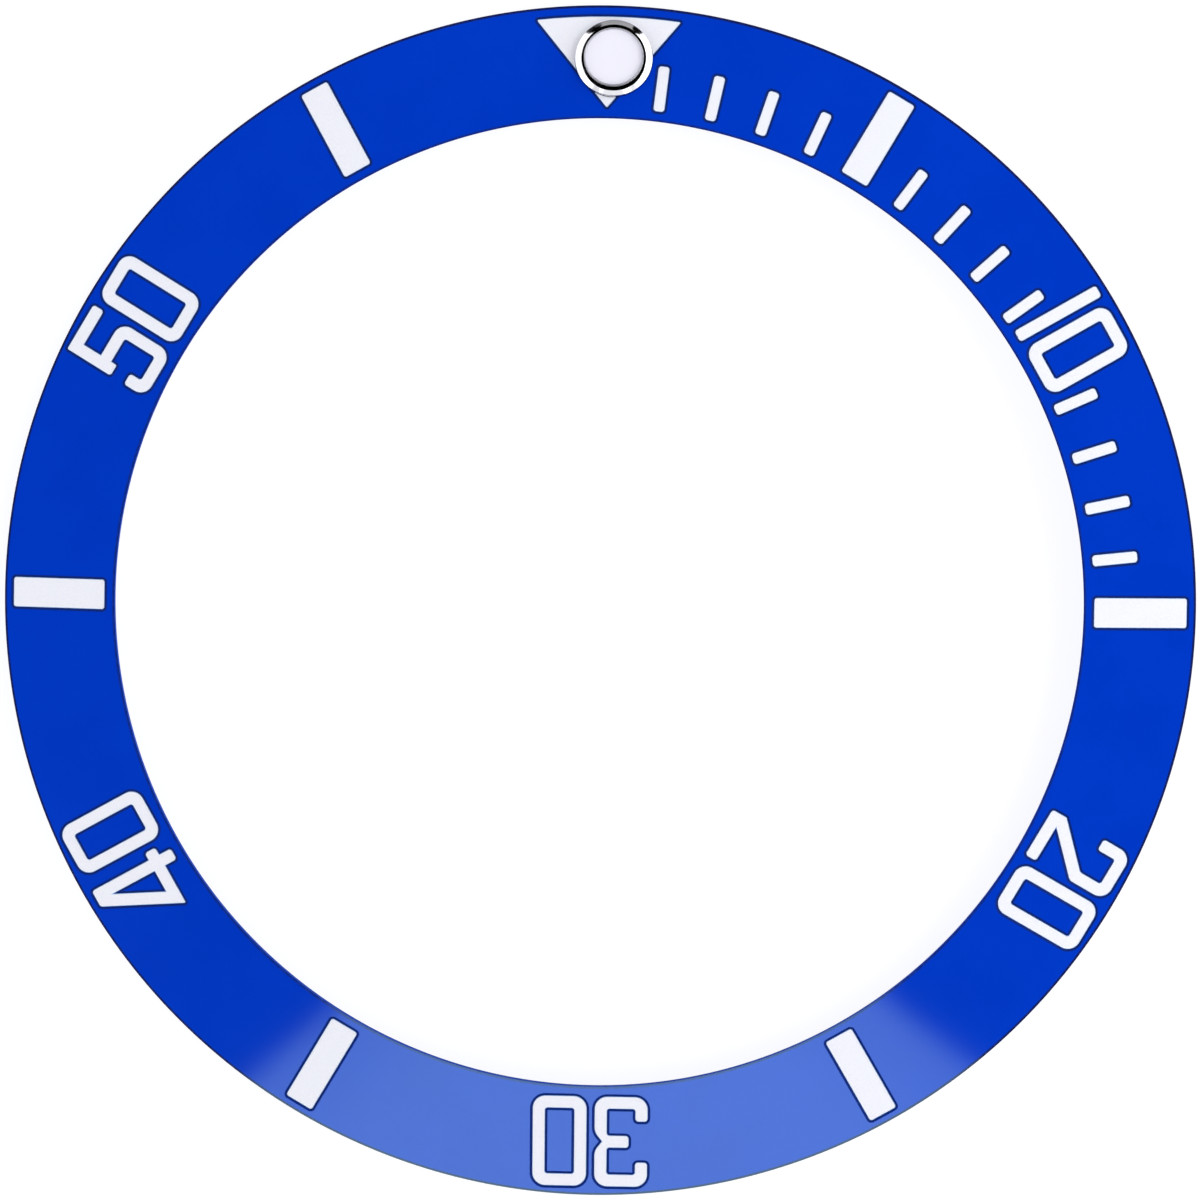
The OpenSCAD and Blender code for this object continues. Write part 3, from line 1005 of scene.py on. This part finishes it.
def make_table():
    """A white table a hair under the ring's back. Seen from below it is clear, so that the back shows."""
    clear()
    bpy.ops.mesh.primitive_plane_add(size=6, location=(0, 0, -TABLE_GAP * MM))
    table = bpy.context.object
    table.name = "table"
    finish = Finish("white_table")
    finish.set("Base Color", (TABLE_GREY,) * 3)
    finish.set("Roughness", 1)
    finish.set("Specular IOR Level", 0)
    path = finish.add("LightPath").outputs
    looked_at = finish.maths("MAXIMUM", path["Is Camera Ray"], path["Is Transmission Ray"])
    seen = finish.maths("MULTIPLY", looked_at, TABLE_SEEN)
    bounced = finish.maths("MULTIPLY", path["Is Diffuse Ray"], TABLE_BOUNCE)
    finish.set("Emission Color", (1, 1, 1))
    finish.set("Emission Strength", finish.maths("ADD", seen, bounced))
    behind = finish.add("NewGeometry").outputs["Backfacing"]
    finish.clear_where(finish.maths("MULTIPLY", path["Is Camera Ray"], behind))
    table.data.materials.append(finish.material)


def make_world():
    """White to the camera, a dim fill to all that scatters light, and nothing to what mirrors it."""
    world = bpy.data.worlds.new("studio")
    bpy.context.scene.world = world
    tree = Tree(world)
    path = tree.add("LightPath").outputs
    seen = tree.spread(path["Is Camera Ray"], WORLD_FILL, 1.0, 0, 1)
    mirrored = tree.maths("MULTIPLY", path["Is Glossy Ray"], WORLD_FILL)
    back = tree.nodes["Background"]
    tree.put((1, 1, 1), back.inputs["Color"])
    tree.put(tree.maths("SUBTRACT", seen, mirrored), back.inputs["Strength"])


def area_lamp(name, width, height, radiance, place):
    """A soft rectangular lamp that the camera doesn't see, with its size in millimetres."""
    lamp = bpy.data.lights.new(name, "AREA")
    lamp.shape = "RECTANGLE"
    lamp.size, lamp.size_y = width * MM, height * MM
    lamp.energy = radiance * math.pi * lamp.size * lamp.size_y
    lamp.color = DAYLIGHT
    holder = bpy.data.objects.new(name, lamp)
    holder.matrix_world = place
    holder.visible_camera = False
    bpy.context.scene.collection.objects.link(holder)
    return lamp


def softbox(name, clock, polar, width, height, radiance):
    """A lamp that looks at the ring from a clock direction, polar degrees off the axis."""
    a, p = math.radians(clock), math.radians(polar)
    aim = Vector((math.sin(a) * math.sin(p), math.cos(a) * math.sin(p), math.cos(p)))
    turned = aim.to_track_quat("Z", "Y").to_matrix().to_4x4()
    area_lamp(name, width, height, radiance, Matrix.Translation(aim * SOFTBOX_FAR * MM) @ turned)


def overhead_panel():
    """The level panel over the ring's foot, mirrored between 24 and 36 minutes. Its near edge fades out."""
    middle = Vector((0, -(PANEL_NEAR + PANEL_FAR) / 2, PANEL_HEIGHT)) * MM
    place = Matrix.Rotation(math.radians(PANEL_TURN), 4, "Z") @ Matrix.Translation(middle)
    depth = PANEL_FAR - PANEL_NEAR
    tree = Tree(area_lamp("overhead_panel", PANEL_W, depth, radiance=1.10, place=place))
    split = tree.add("SeparateXYZ")
    tree.put(tree.add("NewGeometry").outputs["Parametric"], split.inputs["Vector"])
    fade = tree.add("ValToRGB")
    tree.put(split.outputs["Y"], fade.inputs["Fac"])
    ramp = fade.color_ramp
    ramp.interpolation = "EASE"
    ramp.elements[1].position, ramp.elements[1].color = 1, (0, 0, 0, 1)
    ramp.elements[0].position, ramp.elements[0].color = 1 - FADE_W / depth, (1, 1, 1, 1)
    ramp.elements.new(1 - FADE_BEND_W / depth).color = (FADE_BEND, FADE_BEND, FADE_BEND, 1)
    tree.put(fade.outputs["Color"], tree.nodes["Emission"].inputs["Color"])


def make_camera():
    """Looks straight down, leaning a few degrees, from 320 mm above the rim's height."""
    lean_x, lean_y, roll = math.radians(3.41), math.radians(-1.93), math.radians(1.07)
    view = (
        Matrix.Translation((-0.024, -0.075, 0))
        @ Matrix.Rotation(lean_y, 4, "Y")
        @ Matrix.Rotation(lean_x, 4, "X")
        @ Matrix.Rotation(-roll, 4, "Z")
        @ Matrix.Translation((0, 0, -RIM_H))
    )
    place = view.inverted() @ Matrix.Translation((0, 0, CAMERA_FAR))
    place.translation *= MM
    lens = bpy.data.cameras.new("camera")
    lens.sensor_width = SENSOR_W
    lens.lens = SENSOR_W * CAMERA_FAR / VIEW_W
    lens.clip_start, lens.clip_end = 0.01, 20
    camera = bpy.data.objects.new("camera", lens)
    camera.matrix_world = place
    bpy.context.scene.collection.objects.link(camera)
    bpy.context.scene.camera = camera


make_table()
make_world()
overhead_panel()
softbox("right_softbox", clock=76, polar=61, width=1100, height=560, radiance=2.4)
softbox("left_softbox", clock=282, polar=61, width=1100, height=560, radiance=1.5)
softbox("front_right_softbox", clock=126, polar=52, width=420, height=380, radiance=1.03)
softbox("front_left_softbox", clock=237, polar=52, width=420, height=380, radiance=0.95)
softbox("back_softbox", clock=2, polar=82, width=420, height=240, radiance=0.46)
make_camera()

bpy.context.scene.view_settings.view_transform = "Standard"
